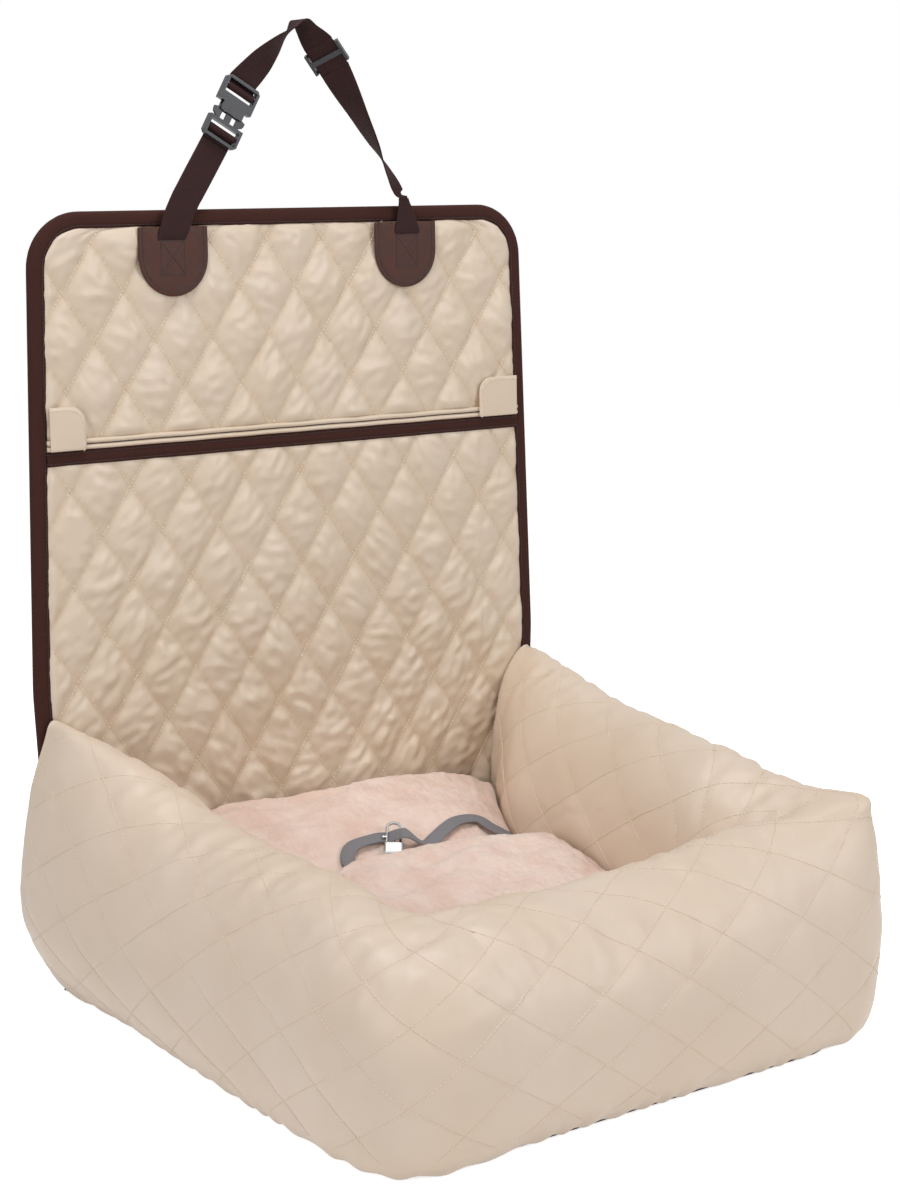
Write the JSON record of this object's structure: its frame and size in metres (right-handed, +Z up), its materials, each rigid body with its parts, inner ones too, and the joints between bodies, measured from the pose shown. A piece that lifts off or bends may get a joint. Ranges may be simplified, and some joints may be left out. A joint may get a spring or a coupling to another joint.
{
  "type": "dog car seat",
  "caption": "Quilted dog booster bed with stuffed bolsters, plush pad, folding back panel with zip pocket, headrest strap with side-release buckle, and a tether with a bolt snap.",
  "frame": {"origin": "centre of the bed's width on the underside of the floor, 252 mm behind its front edge", "axes": "+Z up, +Y to the back panel, +X to the right as seen from the front"},
  "size_m": [0.6169, 0.5686, 0.9063],
  "materials": {
    "cream": "quilted satin",
    "plush": "short plush",
    "webbing": "woven webbing",
    "lining": "plain weave",
    "grey_webbing": "flat woven webbing",
    "leather": "smooth grain",
    "board": "plain sheet",
    "plastic": "moulded satin",
    "chrome": "bright plated"
  },
  "bodies": {
    "root": {"floor_cover": "lining", "floor_board": "board", "bolster_left": "cream", "bolster_front": "cream", "bolster_right": "cream", "seat_pad": "plush", "wall_quilt": "cream", "wall_board": "board", "wall_back": "lining", "wall_binding_left": "webbing", "wall_binding_right": "webbing", "tether_strap": "grey_webbing", "hook_eye": "chrome"},
    "flap": {"pocket_quilt": "cream", "upper_quilt": "cream", "flap_board": "board", "flap_back": "lining", "flap_binding": "webbing", "pocket_band": "webbing", "zip_tape": "lining", "zip_coil": "plastic", "zip_lip_lower": "cream", "zip_lip_upper": "cream", "zip_cover_left": "cream", "zip_cover_right": "cream", "patch_left": "leather", "patch_right": "leather", "strap_tail_left": "webbing", "strap_tail_right": "webbing"},
    "zip_slider": {"zip_slider": "chrome", "zip_pull": "webbing"},
    "strap_left": {"strap_left": "webbing", "buckle_lower": "plastic"},
    "prong_left": {"buckle_prong_left": "plastic"},
    "prong_right": {"buckle_prong_right": "plastic"},
    "strap_right": {"strap_right": "webbing", "buckle_upper": "plastic"},
    "adjuster": {"strap_adjuster": "plastic"},
    "hook": {"hook_body": "chrome"},
    "hook_bolt": {"hook_bolt": "chrome"}
  },
  "joints": [
    {"name": "backrest_fold", "type": "hinge", "parent": "root", "child": "flap", "pos_m": [0, 0.26321, 0.29491], "axis": [1, 0, 0], "range_deg": [-8, 95]},
    {"name": "zip_slide", "type": "slide", "parent": "flap", "child": "zip_slider", "axis": [-1, 0, 0], "range_m": [0, 0.41]},
    {"name": "strap_swing", "type": "hinge", "parent": "flap", "child": "strap_left", "pos_m": [0, 0.2712, 0.73635], "axis": [-1, 0, 0], "range_deg": [-100, 90]},
    {"name": "prong_squeeze_left", "type": "hinge", "parent": "strap_left", "child": "prong_left", "pos_m": [-0.08204, 0.27312, 0.81494], "axis": [0, 0.9997, -0.0244], "range_deg": [0, 7], "stiffness_Nm_per_rad": 0.5},
    {"name": "prong_squeeze_right", "type": "hinge", "parent": "strap_left", "child": "prong_right", "pos_m": [-0.06386, 0.27286, 0.80444], "axis": [0, 0.9997, -0.0244], "range_deg": [-7, 0], "stiffness_Nm_per_rad": 0.5},
    {"name": "buckle_release", "type": "hinge", "parent": "strap_left", "child": "strap_right", "pos_m": [0.131, 0.27042, 0.70456], "axis": [0, 0.9997, -0.0244], "range_deg": [0, 6]},
    {"name": "adjuster_slide", "type": "slide", "parent": "strap_right", "child": "adjuster", "axis": [0.6157, -0.0193, -0.7878], "range_m": [-0.004, 0.004]},
    {"name": "hook_swivel", "type": "hinge", "parent": "root", "child": "hook", "pos_m": [-0.0033, 0.1067, 0.1215], "axis": [0.4873, 0.6707, 0.5592], "range_deg": [0, 5]},
    {"name": "hook_bolt_slide", "type": "slide", "parent": "hook", "child": "hook_bolt", "axis": [-0.4873, -0.6707, -0.5592], "range_m": [0, 0.006], "stiffness_N_per_m": 150, "springref_m": -0.002}
  ]
}
